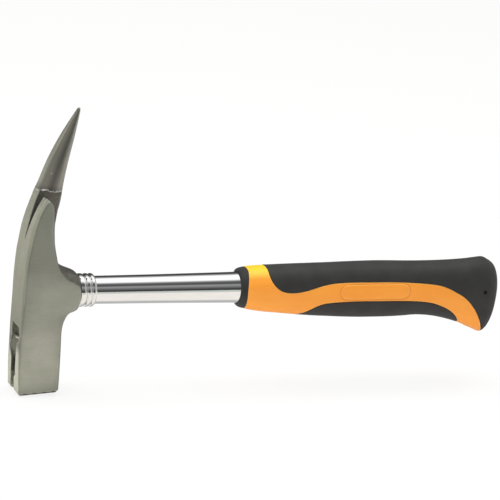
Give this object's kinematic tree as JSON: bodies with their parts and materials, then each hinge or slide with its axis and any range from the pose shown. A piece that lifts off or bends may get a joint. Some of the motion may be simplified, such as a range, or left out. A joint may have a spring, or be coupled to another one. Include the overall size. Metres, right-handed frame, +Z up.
{
  "type": "roofing hammer",
  "caption": "Roofing hammer with a square face, magnetic nail holder, side claw and spike on a chromed tube shaft with a two-colour moulded grip.",
  "frame": {"origin": "point on the shaft axis in the middle of the head's neck, between the two cheeks", "axes": "+X along the shaft from the head to the butt, +Z up from the striking face to the spike, +Y across the head from the mouth side of the claw to the plain cheek"},
  "size_m": [0.3239, 0.0308, 0.1822],
  "materials": {
    "forged_steel": "fine ground satin steel under clear lacquer, darker unground areas",
    "magnet": "dark sintered magnet",
    "chromed_tube": "bright chrome plate",
    "plug_steel": "turned steel",
    "orange_plastic": "satin moulded polypropylene",
    "black_rubber": "matt soft-touch rubber",
    "plug_plastic": "natural polyethylene"
  },
  "bodies": {
    "root": {"head": "forged_steel", "nail_magnet": "magnet", "handle_tube": "chromed_tube", "expander_plug": "plug_steel", "grip_core": "orange_plastic", "top_pad": "black_rubber", "lower_pad": "black_rubber", "front_collar": "black_rubber", "tube_end_plug": "plug_plastic"}
  },
  "joints": []
}
